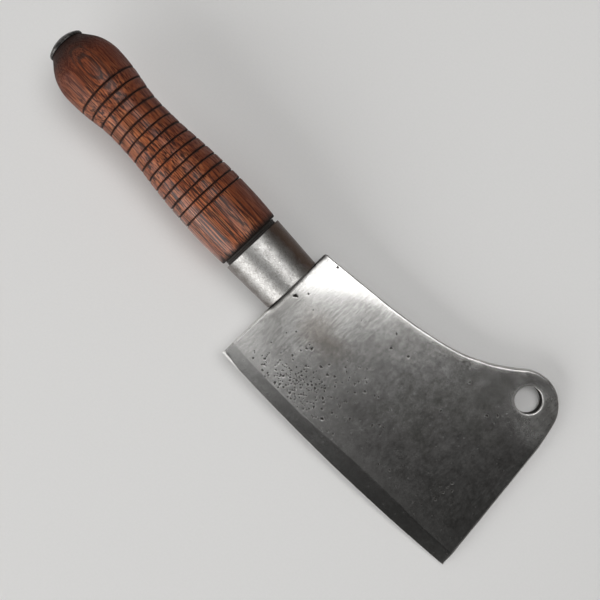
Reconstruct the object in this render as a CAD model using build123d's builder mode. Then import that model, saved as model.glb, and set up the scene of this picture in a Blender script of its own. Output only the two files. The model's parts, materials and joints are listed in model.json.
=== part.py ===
from build123d import *
import math
import os

# Meat cleaver lying flat on its side, in millimetres.
#
# The tool's own frame has X along the handle's axis, from the butt to the blade, with
# X = 0 where the blade's shoulder meets the ferrule; Y lies in the blade, from the
# cutting edge to the spine; Z goes through the blade's thickness. TOOL is that frame
# laid down on the board, so every sub-part is drawn in plain tool coordinates.

# --- Blade ---
SPINE_CORNER_Y = 21.0          # spine's rear corner, above the handle's axis
SPINE_RISE = 7.8               # degrees, slope of the spine's straight stretch
SPINE_STRAIGHT = 33.0
SPINE_SWEEP = (258.0, 7.6)     # radius and degrees: long hollow of the spine
SPINE_HOLLOW = (87.0, 26.9)    # tighter hollow behind the lobe
LOBE_ROUND = (17.35, 113.4)    # round lobe that holds the hanging hole
LOBE_FRONT = (94.0, 10.7)      # its easy run into the straight front edge
CORNER_ROUND = 1.3             # worn rear corner of the spine
HEEL = (0.6, -43.2)
TOE = (143.1, -37.7)
EDGE_RADIUS = 1104.0           # belly of the cutting edge
BEVEL_WIDTH = 7.4
EDGE_HALF = 0.15               # half the land left on the cutting edge
SHOULDER_HALF = 1.65           # half thickness where the bevel starts
BLANK_HALF = 4.0               # half the stock that the blade is ground from

HOLE_CENTRE = (113.1, 43.2)
HOLE_RADIUS = 6.5
HOLE_BREAK = 0.35

# --- Tang, one forging with the blade; its round end is peened flush in the cap ---
TANG_ROOT_WIDTH = 15.0
TANG_TIP_WIDTH = 6.4
TANG_HALF = 2.3
TANG_TIP = -139.0              # where the flat tang becomes a round end
TANG_END_RADIUS = 2.3
SLOT_GAP = 0.15                # clearance round the tang in wood and steel

# --- Ferrule: a steel cup over the handle's tenon ---
FERRULE_LENGTH = 25.6
FERRULE_REAR = 15.56
FERRULE_FRONT = 14.67
FERRULE_WALL = 1.8
FERRULE_END = 2.2
FERRULE_BREAK = 0.4

# --- Neck washers ---
WASHER_THICK = 1.1
WASHER_RADIUS = 14.1

# --- Wooden handle ---
GRIP_REAR = -142.5             # rear face, under the butt cap
REAR_FACE = 8.4
BULB_AT, BULB = -126.5, 15.6
BULB_TAIL = (19.9, 37.6)       # radius and degrees of the round behind the bulb's crest
WAIST_AT, WAIST = -99.0, 13.05
SWELL_AT, SWELL = -43.5, 16.3
FRONT_FACE = 15.65
FRONT_BREAK = 0.5
BLEND = 0.62                   # share of each rise that the convex arc takes
GROOVES = 14
GROOVE_FRONT = -50.7
GROOVE_PITCH = 5.09
GROOVE_HALF_WIDTH = 0.42
GROOVE_DEPTH = 0.6

# --- Butt cap: a domed steel washer ---
CAP_RADIUS = 8.9
CAP_RIM = 1.2
CAP_RISE = 2.9

# The tool rests on the ferrule's front rim and on the blade's whole front arris, so its
# slope follows from the ferrule's radius and the reach of the toe. The blade's faces
# taper toward the edge by just what keeps that arris parallel to the board.
front_lean = LOBE_ROUND[1] + LOBE_FRONT[1] - SPINE_RISE - SPINE_SWEEP[1] - SPINE_HOLLOW[1]
toe_reach = TOE[0] - BEVEL_WIDTH / math.tan(math.radians(front_lean))
tilt = math.atan((FERRULE_FRONT - SHOULDER_HALF) / toe_reach)
taper = math.tan(tilt) / math.tan(math.radians(front_lean))


def half_thickness(y):
    """Half the blade's thickness at height y, above the bevel."""
    return SHOULDER_HALF + taper * (y - TOE[1] - BEVEL_WIDTH)


# Centre of the belly's arc, found from its two ends.
chord = math.dist(HEEL, TOE)
reach_to_centre = math.sqrt(EDGE_RADIUS**2 - (chord / 2) ** 2)
belly_centre = (
    (HEEL[0] + TOE[0]) / 2 - reach_to_centre * (TOE[1] - HEEL[1]) / chord,
    (HEEL[1] + TOE[1]) / 2 + reach_to_centre * (TOE[0] - HEEL[0]) / chord,
)

# The origin is the bottom centre of the box that the laid-down tool fills.
cap_sphere = (CAP_RADIUS**2 + CAP_RISE**2) / (2 * CAP_RISE)
crown = GRIP_REAR - CAP_RIM - CAP_RISE
front = TOE[0] * math.cos(tilt) + EDGE_HALF * math.sin(tilt)
back = (crown + cap_sphere) * math.cos(tilt) - cap_sphere
belly_low = belly_centre[1] - EDGE_RADIUS
after_straight = math.radians(SPINE_RISE)
after_sweep = after_straight + math.radians(SPINE_SWEEP[1])
after_hollow = after_sweep + math.radians(SPINE_HOLLOW[1])
lobe_top = (
    SPINE_CORNER_Y
    + SPINE_STRAIGHT * math.sin(after_straight)
    + SPINE_SWEEP[0] * (math.cos(after_straight) - math.cos(after_sweep))
    + SPINE_HOLLOW[0] * (math.cos(after_sweep) - math.cos(after_hollow))
    + LOBE_ROUND[0] * (1 - math.cos(after_hollow))
)
TOOL = Plane(
    origin=(-(front + back) / 2, -(lobe_top + belly_low) / 2, FERRULE_FRONT * math.cos(tilt)),
    x_dir=(math.cos(tilt), 0, -math.sin(tilt)),
    z_dir=(math.sin(tilt), 0, math.cos(tilt)),
)
AXIS = Axis(TOOL.origin, TOOL.x_dir)

# Plane through the axis for turned profiles: its X along the tool, its Y the radius.
TURNING = Plane(origin=TOOL.origin, x_dir=TOOL.x_dir, z_dir=-TOOL.y_dir)


def across(x):
    """Plane square to the axis at x, its X along the tool's Y and its Y along Z."""
    origin = TOOL.from_local_coords(Vector(x, 0, 0))
    return Plane(origin=origin, x_dir=TOOL.y_dir, z_dir=TOOL.x_dir)


def direction(angle):
    return (math.cos(math.radians(angle)), math.sin(math.radians(angle)))


def tang_half_width(x):
    """Half the flat tang's width at x, between its root and its tip."""
    return (TANG_ROOT_WIDTH + (TANG_TIP_WIDTH - TANG_ROOT_WIDTH) * x / TANG_TIP) / 2


def tang_outline(gap, start, end):
    """Outline of the flat tang from start back to end, widened by gap on each side."""
    near = tang_half_width(start) + gap
    far = tang_half_width(end) + gap
    return Polygon((start, near), (end, far), (end, -far), (start, -near), align=None)


# --- Blade with its tang ---
with BuildPart() as blade:
    with BuildSketch(TOOL):
        with BuildLine():
            heading = SPINE_RISE
            rise = PolarLine((0, SPINE_CORNER_Y), SPINE_STRAIGHT, heading)
            sweep = JernArc(rise @ 1, direction(heading), *SPINE_SWEEP)
            heading += SPINE_SWEEP[1]
            hollow = JernArc(sweep @ 1, direction(heading), *SPINE_HOLLOW)
            heading += SPINE_HOLLOW[1]
            lobe = JernArc(hollow @ 1, direction(heading), LOBE_ROUND[0], -LOBE_ROUND[1])
            heading -= LOBE_ROUND[1]
            run = JernArc(lobe @ 1, direction(heading), LOBE_FRONT[0], -LOBE_FRONT[1])
            Line(run @ 1, TOE)
            RadiusArc(TOE, HEEL, EDGE_RADIUS)
            Line(HEEL, (0, SPINE_CORNER_Y))
        make_face()
        fillet(vertices().sort_by_distance((0, SPINE_CORNER_Y))[0], CORNER_ROUND)
    extrude(amount=BLANK_HALF, both=True)

    # Both faces are ground to one long wedge, thick at the spine.
    with BuildSketch(across(TOE[0] + 1)):
        low, high = belly_low - 1, lobe_top + 1
        Polygon(
            (low, -half_thickness(low)),
            (high, -half_thickness(high)),
            (high, half_thickness(high)),
            (low, half_thickness(low)),
            align=None,
        )
    extrude(amount=-(TOE[0] + 2), mode=Mode.INTERSECT)

    # The bevels are cones about the belly's centre.
    bevel_plane = Plane(
        origin=TOOL.from_local_coords(Vector(*belly_centre, 0)),
        x_dir=-TOOL.y_dir,
        z_dir=TOOL.x_dir,
    )
    bevel_slope = (SHOULDER_HALF - EDGE_HALF) / BEVEL_WIDTH
    for side in (1, -1):
        with BuildSketch(bevel_plane):
            inner = EDGE_RADIUS - BEVEL_WIDTH
            outer = EDGE_RADIUS + 1
            Polygon(
                (inner, side * SHOULDER_HALF),
                (outer, side * (SHOULDER_HALF - bevel_slope * (outer - inner))),
                (outer, side * BLANK_HALF),
                (inner, side * BLANK_HALF),
                align=None,
            )
        revolve(axis=Axis(bevel_plane.origin, TOOL.z_dir), mode=Mode.SUBTRACT)

    # Hanging hole through the lobe, its rims broken.
    with BuildSketch(TOOL):
        with Locations(HOLE_CENTRE):
            Circle(HOLE_RADIUS)
    extrude(amount=BLANK_HALF, both=True, mode=Mode.SUBTRACT)
    rims = edges().filter_by(GeomType.ELLIPSE) + edges().filter_by(GeomType.CIRCLE)
    hole_at = TOOL.from_local_coords(Vector(*HOLE_CENTRE, 0))
    chamfer(rims.sort_by_distance(hole_at)[0:2], HOLE_BREAK)

    with BuildSketch(TOOL):
        tang_outline(0, 0.6, TANG_TIP)
    extrude(amount=TANG_HALF, both=True)
    with BuildSketch(TURNING):
        with BuildLine():
            end_rise = cap_sphere - math.sqrt(cap_sphere**2 - TANG_END_RADIUS**2)
            RadiusArc((crown + end_rise, TANG_END_RADIUS), (crown, 0), -cap_sphere)
            Polyline(
                (crown, 0),
                (TANG_TIP + 2, 0),
                (TANG_TIP + 2, TANG_END_RADIUS),
                (crown + end_rise, TANG_END_RADIUS),
            )
        make_face()
    revolve(axis=AXIS)
blade.part.label = "blade"

# --- Ferrule: tapered outside, straight inside, its end wall slotted for the tang ---
with BuildPart() as ferrule:
    with BuildSketch(TURNING):
        inside = FERRULE_FRONT - FERRULE_WALL
        Polygon(
            (0, 0),
            (0, FERRULE_FRONT - FERRULE_BREAK),
            (-FERRULE_BREAK, FERRULE_FRONT),
            (-FERRULE_LENGTH + FERRULE_BREAK, FERRULE_REAR),
            (-FERRULE_LENGTH, FERRULE_REAR - FERRULE_BREAK),
            (-FERRULE_LENGTH, inside),
            (-FERRULE_END, inside),
            (-FERRULE_END, 0),
            align=None,
        )
    revolve(axis=AXIS)
    with BuildSketch(TOOL):
        tang_outline(SLOT_GAP, 1, -FERRULE_END - 1)
    extrude(amount=TANG_HALF + SLOT_GAP, both=True, mode=Mode.SUBTRACT)
ferrule.part.label = "ferrule"


def neck_washer(front_x):
    """Profile of a thin washer round the tenon, its front face at front_x."""
    tenon = FERRULE_FRONT - FERRULE_WALL
    return Polygon(
        (front_x, tenon),
        (front_x, WASHER_RADIUS),
        (front_x - WASHER_THICK, WASHER_RADIUS),
        (front_x - WASHER_THICK, tenon),
        align=None,
    )


# --- Two black neck washers between the ferrule and the wood's shoulder ---
with BuildPart() as neck_washer_front:
    with BuildSketch(TURNING):
        neck_washer(-FERRULE_LENGTH)
    revolve(axis=AXIS)
neck_washer_front.part.label = "neck_washer_front"

with BuildPart() as neck_washer_rear:
    with BuildSketch(TURNING):
        neck_washer(-FERRULE_LENGTH - WASHER_THICK)
    revolve(axis=AXIS)
neck_washer_rear.part.label = "neck_washer_rear"

# --- Turned wooden handle: tenon, swell, waist and bulb, with burnt grooves ---
grip_front = -FERRULE_LENGTH - 2 * WASHER_THICK
swell_end = (
    SWELL_AT + BLEND * (WAIST_AT - SWELL_AT),
    SWELL + BLEND * (WAIST - SWELL),
)
bulb_start = (
    BULB_AT + BLEND * (WAIST_AT - BULB_AT),
    BULB + BLEND * (WAIST - BULB),
)
bulb_tail_end = (
    BULB_AT - BULB_TAIL[0] * math.sin(math.radians(BULB_TAIL[1])),
    BULB - BULB_TAIL[0] * (1 - math.cos(math.radians(BULB_TAIL[1]))),
)


def grip_radius(x):
    """Radius of the grip between the swell's crest and the bulb's crest."""
    if x > WAIST_AT:
        crest_at, crest, joint = SWELL_AT, SWELL, swell_end
    else:
        crest_at, crest, joint = BULB_AT, BULB, bulb_start
    if abs(x - crest_at) < abs(joint[0] - crest_at):
        run, fall = joint[0] - crest_at, crest - joint[1]
        sphere = (run**2 + fall**2) / (2 * fall)
        return crest - sphere + math.sqrt(sphere**2 - (x - crest_at) ** 2)
    run, fall = joint[0] - WAIST_AT, joint[1] - WAIST
    sphere = (run**2 + fall**2) / (2 * fall)
    return WAIST + sphere - math.sqrt(sphere**2 - (x - WAIST_AT) ** 2)


with BuildPart() as handle:
    with BuildSketch(TURNING):
        with BuildLine():
            tenon = FERRULE_FRONT - FERRULE_WALL
            Polyline(
                (GRIP_REAR, REAR_FACE),
                (GRIP_REAR, 0),
                (-FERRULE_END, 0),
                (-FERRULE_END, tenon),
                (grip_front, tenon),
                (grip_front, FRONT_FACE - FRONT_BREAK),
                (grip_front - FRONT_BREAK, FRONT_FACE),
            )
            TangentArc((SWELL_AT, SWELL), (grip_front - FRONT_BREAK, FRONT_FACE), tangent=(1, 0))
            TangentArc((SWELL_AT, SWELL), swell_end, tangent=(-1, 0))
            TangentArc((WAIST_AT, WAIST), swell_end, tangent=(1, 0))
            TangentArc((WAIST_AT, WAIST), bulb_start, tangent=(-1, 0))
            TangentArc((BULB_AT, BULB), bulb_start, tangent=(1, 0))
            TangentArc((BULB_AT, BULB), bulb_tail_end, tangent=(-1, 0))
            Line(bulb_tail_end, (GRIP_REAR, REAR_FACE))
        make_face()
    revolve(axis=AXIS)

    for index in range(GROOVES):
        at = GROOVE_FRONT - index * GROOVE_PITCH
        skin = grip_radius(at)
        with BuildSketch(TURNING):
            Polygon(
                (at - GROOVE_HALF_WIDTH, skin + 1),
                (at - GROOVE_HALF_WIDTH, skin),
                (at, skin - GROOVE_DEPTH),
                (at + GROOVE_HALF_WIDTH, skin),
                (at + GROOVE_HALF_WIDTH, skin + 1),
                align=None,
            )
        revolve(axis=AXIS, mode=Mode.SUBTRACT)

    with BuildSketch(TOOL):
        tang_outline(SLOT_GAP, 0, TANG_TIP - SLOT_GAP)
    extrude(amount=TANG_HALF + SLOT_GAP, both=True, mode=Mode.SUBTRACT)
    with BuildSketch(across(GRIP_REAR - 1)):
        Circle(TANG_END_RADIUS + SLOT_GAP)
    extrude(amount=TANG_TIP - GRIP_REAR + 2, mode=Mode.SUBTRACT)
handle.part.label = "handle"

# --- Butt cap ---
with BuildPart() as butt_cap:
    with BuildSketch(TURNING):
        with BuildLine():
            hole = TANG_END_RADIUS + SLOT_GAP / 3
            hole_rise = cap_sphere - math.sqrt(cap_sphere**2 - hole**2)
            RadiusArc((GRIP_REAR - CAP_RIM, CAP_RADIUS), (crown + hole_rise, hole), -cap_sphere)
            Polyline(
                (crown + hole_rise, hole),
                (GRIP_REAR, hole),
                (GRIP_REAR, CAP_RADIUS),
                (GRIP_REAR - CAP_RIM, CAP_RADIUS),
            )
        make_face()
    revolve(axis=AXIS)
butt_cap.part.label = "butt_cap"

os.makedirs("parts", exist_ok=True)
export_step(blade.part, "parts/blade.step")
export_step(ferrule.part, "parts/ferrule.step")
export_step(neck_washer_front.part, "parts/neck_washer_front.step")
export_step(neck_washer_rear.part, "parts/neck_washer_rear.step")
export_step(handle.part, "parts/handle.step")
export_step(butt_cap.part, "parts/butt_cap.step")

box = Compound(
    [p.part for p in (blade, ferrule, neck_washer_front, neck_washer_rear, handle, butt_cap)]
).bounding_box()
print("box", box.min, box.max)
print("slope of the tool", round(math.degrees(tilt), 3), "taper", round(math.degrees(math.atan(taper)), 3))
print("hole at", hole_at, "along", TOOL.z_dir, "thickness", 2 * half_thickness(HOLE_CENTRE[1]))
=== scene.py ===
import json
import math

import bmesh
import bpy
import numpy as np
from mathutils import Matrix, Vector
from mathutils.geometry import delaunay_2d_cdt


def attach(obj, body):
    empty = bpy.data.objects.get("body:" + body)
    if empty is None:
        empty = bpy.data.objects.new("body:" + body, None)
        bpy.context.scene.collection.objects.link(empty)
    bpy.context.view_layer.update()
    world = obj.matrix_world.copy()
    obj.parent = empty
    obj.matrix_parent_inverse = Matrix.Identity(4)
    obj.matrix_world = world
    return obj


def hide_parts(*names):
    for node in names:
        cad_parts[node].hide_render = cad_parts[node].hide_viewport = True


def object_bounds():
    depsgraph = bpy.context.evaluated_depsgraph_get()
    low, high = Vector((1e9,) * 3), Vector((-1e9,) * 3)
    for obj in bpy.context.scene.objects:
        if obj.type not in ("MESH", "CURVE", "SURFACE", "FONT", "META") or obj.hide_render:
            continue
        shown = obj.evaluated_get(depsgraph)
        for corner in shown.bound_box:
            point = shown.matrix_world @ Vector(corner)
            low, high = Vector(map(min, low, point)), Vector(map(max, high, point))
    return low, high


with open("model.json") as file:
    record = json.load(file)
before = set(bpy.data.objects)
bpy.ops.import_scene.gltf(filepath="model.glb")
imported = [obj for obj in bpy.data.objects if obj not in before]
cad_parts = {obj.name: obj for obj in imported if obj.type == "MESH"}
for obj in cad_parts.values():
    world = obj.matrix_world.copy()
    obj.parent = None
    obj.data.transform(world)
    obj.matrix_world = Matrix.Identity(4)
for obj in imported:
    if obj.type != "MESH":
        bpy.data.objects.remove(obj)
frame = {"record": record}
cad_low, cad_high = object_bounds()

MM = 0.001

# The tool's own frame: X from butt to toe with 0 at the blade's shoulder, Y from the
# cutting edge to the spine, Z through the blade. It is found from the hanging hole.
HOLE = np.array([113.1, 43.2])
HOLE_RADIUS = 6.5
hole_mount = next(m for m in frame["record"]["mounts"] if m["name"] == "hang_hole")
z_axis = Vector(hole_mount["axis"]).normalized()
x_axis = Vector((z_axis.z, 0.0, -z_axis.x))
y_axis = Vector((0.0, 1.0, 0.0))
tool_origin = Vector(hole_mount["pos_m"]) - (x_axis * HOLE[0] + y_axis * HOLE[1]) * MM
tilt = math.atan2(z_axis.x, z_axis.z)
AXES = np.array([x_axis, y_axis, z_axis])


def to_row(points):
    """Tool-frame millimetres to row-frame metres."""
    return np.asarray(points, float) @ AXES * MM + np.array(tool_origin)


# ---- Small numeric helpers ----
def lattice_noise(a, b, seed, lobes=64):
    """Smooth noise from -1 to 1 at points (a, b), one feature per unit; b repeats."""
    size = 64
    table = np.random.default_rng(seed).uniform(-1, 1, (size, size))
    a, b = np.broadcast_arrays(np.asarray(a, float), np.asarray(b, float))
    i, j = np.floor(a).astype(int), np.floor(b).astype(int)
    s, t = a - i, b - j
    s, t = s * s * (3 - 2 * s), t * t * (3 - 2 * t)
    i0, i1, j0, j1 = i % size, (i + 1) % size, j % lobes, (j + 1) % lobes
    low = table[i0, j0] * (1 - s) + table[i1, j0] * s
    high = table[i0, j1] * (1 - s) + table[i1, j1] * s
    return low * (1 - t) + high * t


def smoothstep(low, high, value):
    t = np.clip((value - low) / (high - low), 0, 1)
    return t * t * (3 - 2 * t)


def add_object(name, data):
    made = bpy.data.objects.new(name, data)
    bpy.context.scene.collection.objects.link(made)
    return made


def build_mesh(name, points, faces, node, marks=None, sharp=None):
    """A piece from tool-frame points; it rides the root and stands for one CAD node."""
    mesh = bpy.data.meshes.new(name)
    mesh.from_pydata(to_row(points).tolist(), [], faces)
    mesh.validate()
    shell = bmesh.new()
    shell.from_mesh(mesh)
    bmesh.ops.recalc_face_normals(shell, faces=shell.faces)
    shell.to_mesh(mesh)
    shell.free()
    mesh.polygons.foreach_set("use_smooth", [True] * len(mesh.polygons))
    for mark, values in (marks or {}).items():
        layer = mesh.attributes.new(mark, "FLOAT", "POINT")
        layer.data.foreach_set("value", np.asarray(values, np.float32))
    if sharp is not None:
        mesh.set_sharp_from_angle(angle=math.radians(sharp))
    mesh.update()
    piece = add_object(name, mesh)
    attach(piece, "root")
    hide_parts(node)
    return piece


# ---- Blade ----
HEEL = np.array([0.6, -43.2])
TOE = np.array([143.1, -37.7])
SPINE_CORNER = np.array([0.0, 21.0])
# Straight or arc runs of the spine: length, or radius and turn in degrees.
SPINE_RUNS = ((33.0, None), (258.0, 7.6), (87.0, 26.9), (17.35, -113.4), (94.0, -10.7))
SPINE_RISE = 7.8  # degrees
EDGE_RADIUS = 1104.0  # belly of the cutting edge
OUTLINE_STEP = 0.5
CORNER_ROUND = 1.3
HEEL_ROUND = 0.35
WANDER = 0.10  # how far the forged outline strays, and over what length
WANDER_LENGTH = 9.0
EDGE_WANDER = 0.02
EDGE_WANDER_LENGTH = 2.5
HOLE_OVAL = 0.09  # the punched hole is a little oval, lobed and rough
HOLE_LOBED = 0.06
HOLE_ROUGH = 0.04
HOLE_BREAK = 0.45
BEVEL_NARROW = 6.6
BEVEL_EXTRA = 1.9
BEVEL_WIDEST_AT = 85.0
BEVEL_SPREAD = 38.0
BEVEL_WAVE = 0.012
SHOULDER_HALF = 1.65  # half thickness where the bevel starts
TAPER = 0.01322  # growth of the half thickness toward the spine
TAPER_FROM = -30.3
GRINDING_LOSS = 0.03
EDGE_HALF = 0.15
EDGE_TIP = 0.04
TIP_WIDENS = (4, 14)  # the honed tip is keenest at the heel
HONE_WIDTH = 0.14
HONE_HEEL, HONE_HEEL_RUN = 0.75, 7.0
HONE_REAR, HONE_REAR_RUN = 0.12, 45.0
HONE_BRIGHT_RUN = 11.0
NECK_SLOPE = 0.05  # the shoulder forged down into the tang
NECK_CURVE = 0.036
NECK_REACH = 2.6
NECK_LOWER = (-17.5, -13.0)
NECK_UPPER = (22.0, 17.5)
ROLL_SLOPE = 0.042  # the spine's rounded-over border, wider at the rear
ROLL_REAR = 15.0
ROLL_REAR_RUN = 23.0
ROLL_REACH = 3.2
BREAK_RADIUS = 0.5  # broken edges, softer along the spine
BREAK_SPINE = 0.3
BREAK_UNEVEN = 0.14
WAVES = ((0.040, 17.0, 13.0), (0.012, 5.0, 9.0))  # height, lengths along X and Y

# Rust pits. Clusters: centre, spread, count. Singles: x, y, radius, stretch, turn.
PIT_CLUSTERS = (
    ((34.0, -29.5), (9.0, 5.5), 170), ((47.0, -26.0), (8.0, 6.0), 36),
    ((24.0, -33.5), (10.0, 2.0), 30), ((51.0, -7.0), (4.0, 3.5), 14),
    ((118.0, -14.0), (2.2, 4.5), 12), ((60.0, 6.0), (26.0, 14.0), 7),
    ((104.0, 24.0), (14.0, 12.0), 2), ((52.0, -18.0), (22.0, 8.0), 24),
)
PIT_SINGLES = (
    (4.6, -1.9, 0.62, 1.9, 0.6), (7.9, 2.9, 0.38, 1.0, 0.0),
    (8.2, 20.6, 0.56, 1.1, 0.4), (40.6, -15.9, 0.55, 1.1, 0.2),
    (53.6, -31.4, 0.60, 1.5, 0.8), (57.9, -8.8, 0.50, 1.2, 0.4),
    (64.0, -6.0, 0.34, 1.1, 1.2), (30.9, -20.2, 0.50, 1.1, 0.9),
)
UNDERSIDE_CLUSTERS = (
    ((88.0, -18.0), (12.0, 7.0), 60), ((30.0, -5.0), (10.0, 9.0), 36),
    ((60.0, 12.0), (34.0, 12.0), 30), ((112.0, 10.0), (12.0, 16.0), 30),
)
PIT_RADIUS, PIT_RADIUS_EXTRA = 0.23, 0.27
PIT_STRETCH, PIT_DEPTH = (1.0, 1.7), (0.18, 0.32)
PIT_SPACING = 1.4
SINGLE_DEPTH = 0.34  # depth over radius

# Mesh of a face: rows along the outline, the hole and the bevel's shoulder, rings of
# points in each pit, and a grid between them.
OUTLINE_ROWS = (0.07, 0.18, 0.34, 0.58, 0.95, 1.4, 1.9, 2.4, 2.9, 3.6, 4.4, 5.3)
BEVEL_ROWS_END = 1.2  # past this depth a row stops at the bevel
HOLE_ROWS = (0.07, 0.18, 0.34, 0.58, 1.0)
SHOULDER_ROWS = (-0.25, -0.08, 0.08, 0.25)
SHOULDER_STEP = 0.7
BEVEL_CLEARANCE = 0.6
PIT_RINGS = ((0.0, 1), (0.4, 6), (0.75, 9), (1.05, 11), (1.4, 11))
GRID_STEP = 0.85
GRID_CLEAR_SPINE, GRID_CLEAR = 5.8, 1.5
ROW_SPACING = 0.12
RING_SPACING = 0.07
RING_CELL = 0.42
GUIDE_CLEAR = 0.05  # least distances to the outline and the shoulder
RING_CLEAR = 1.1
GRID_SHOULDER, RING_SHOULDER = 0.55, 0.4
RIM_ROWS = (0.12, 0.5, 0.88)

chord = TOE - HEEL
belly_centre = (HEEL + TOE) / 2 + math.sqrt(EDGE_RADIUS**2 - chord @ chord / 4) * (
    np.array([-chord[1], chord[0]]) / np.linalg.norm(chord)
)


def arc_points(centre, radius, start, end):
    count = max(2, int(abs(end - start) * radius / OUTLINE_STEP))
    angles = np.linspace(start, end, count + 1)[1:]
    return centre + radius * np.c_[np.cos(angles), np.sin(angles)]


def straight(start, end):
    count = max(1, int(np.linalg.norm(end - start) / OUTLINE_STEP))
    return start + (end - start) * np.linspace(0, 1, count + 1)[1:, None]


def rounded(before, corner, after, radius):
    """Points of a small arc in place of a sharp corner."""
    u = (before - corner) / np.linalg.norm(before - corner)
    v = (after - corner) / np.linalg.norm(after - corner)
    half = math.acos(float(np.clip(u @ v, -1, 1))) / 2
    reach = radius / math.tan(half)
    centre = corner + (u + v) / np.linalg.norm(u + v) * radius / math.sin(half)
    a, b = corner + u * reach - centre, corner + v * reach - centre
    start = math.atan2(a[1], a[0])
    turn = math.atan2(b[1], b[0]) - start
    turn = (turn + math.pi) % (2 * math.pi) - math.pi
    angles = start + turn * np.linspace(0, 1, 6)
    return centre + radius * np.c_[np.cos(angles), np.sin(angles)]


def spine_points():
    """The spine, the lobe and the run into the front edge, from the rear corner on."""
    points, at, heading = [SPINE_CORNER[None]], SPINE_CORNER, math.radians(SPINE_RISE)
    for size, turn in SPINE_RUNS:
        if turn is None:
            run = straight(at, at + size * np.array([math.cos(heading), math.sin(heading)]))
        else:
            side = math.copysign(1, turn)
            centre = at + side * size * np.array([-math.sin(heading), math.cos(heading)])
            start = heading - side * math.pi / 2
            heading += math.radians(turn)
            run = arc_points(centre, size, start, heading - side * math.pi / 2)
        points.append(run)
        at = run[-1]
    return np.vstack(points)


def inward_normals(loop):
    """Unit normals of a clockwise loop, pointing into it."""
    along = np.roll(loop, -1, 0) - np.roll(loop, 1, 0)
    return np.c_[along[:, 1], -along[:, 0]] / np.linalg.norm(along, axis=1)[:, None]


def blade_outline():
    """Closed outline, clockwise from the rear corner; the second value marks the edge."""
    top = spine_points()
    belly_start = math.atan2(*(TOE - belly_centre)[::-1])
    belly_end = math.atan2(*(HEEL - belly_centre)[::-1])
    belly = arc_points(belly_centre, EDGE_RADIUS, belly_start, belly_end)
    front = straight(top[-1], TOE)
    corner = rounded(HEEL, SPINE_CORNER, top[6], CORNER_ROUND)
    toe = rounded(front[-3], TOE, belly[2], HEEL_ROUND)
    heel = rounded(belly[-3], HEEL, SPINE_CORNER, HEEL_ROUND)
    rear = straight(HEEL, SPINE_CORNER)
    # Each run loses the points whose place a corner's small arc takes.
    parts = [
        (corner, 0), (top[4:], 0), (front[:-2], 0), (toe, 1),
        (belly[2:-2], 1), (heel, 1), (rear[1:-4], 0),
    ]
    points = np.vstack([p for p, _ in parts])
    edge = np.concatenate([np.full(len(p), e) for p, e in parts])
    # Hand-forged: the outline wanders a little, always inside the drawn one.
    s = np.cumsum(np.linalg.norm(points - np.roll(points, 1, 0), axis=1))
    stray = lattice_noise(s / WANDER_LENGTH, 0.5, 11)
    wander = WANDER + WANDER * stray * np.sin(np.pi * s / s[-1])
    keen = EDGE_WANDER + EDGE_WANDER * lattice_noise(s / EDGE_WANDER_LENGTH, 3.5, 12)
    wander = np.where(edge > 0, keen, wander)
    return points + inward_normals(points) * wander[:, None], edge


def hole_loop():
    turn = np.linspace(0, 2 * math.pi, 96, endpoint=False)
    radius = HOLE_RADIUS + HOLE_OVAL * np.sin(2 * turn + 0.8) + HOLE_LOBED * np.sin(3 * turn + 2.0)
    radius += HOLE_ROUGH * lattice_noise(0.5, turn / (2 * math.pi) * 19, 13, 19)
    return HOLE + radius[:, None] * np.c_[np.cos(turn), np.sin(turn)]


def distance_to(points, loop, keep=None):
    """Distance from each point to a closed polyline, or to its kept segments."""
    a, b = loop, np.roll(loop, -1, 0)
    if keep is not None:
        a, b = a[keep], b[keep]
    best = np.full(len(points), 1e9)
    for p, q in zip(a, b):
        d = q - p
        t = np.clip(((points - p) @ d) / max(d @ d, 1e-12), 0, 1)
        gap = points - p - t[:, None] * d
        best = np.minimum(best, np.einsum("ij,ij->i", gap, gap))
    return np.sqrt(best)


def inside(points, loop):
    """Even-odd test of points against a closed polyline."""
    a, b = loop, np.roll(loop, -1, 0)
    result = np.zeros(len(points), bool)
    for (x0, y0), (x1, y1) in zip(a, b):
        crosses = (y0 > points[:, 1]) != (y1 > points[:, 1])
        if y0 != y1:
            reach = x0 + (points[:, 1] - y0) * (x1 - x0) / (y1 - y0)
            result ^= crosses & (points[:, 0] < reach)
    return result


def bevel_width(x):
    return BEVEL_NARROW + BEVEL_EXTRA * np.exp(-(((x - BEVEL_WIDEST_AT) / BEVEL_SPREAD) ** 2))


def edge_distance(points):
    """How far a point lies in from the belly of the cutting edge."""
    return EDGE_RADIUS - np.linalg.norm(points - belly_centre, axis=-1)


def shoulder_rows(offset):
    """Points along the bevel's shoulder, moved in by offset."""
    x = np.arange(2.0, 141.5, SHOULDER_STEP)
    depth = bevel_width(x) + offset
    y = belly_centre[1] - np.sqrt((EDGE_RADIUS - depth) ** 2 - (x - belly_centre[0]) ** 2)
    return np.c_[x, y]


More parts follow.
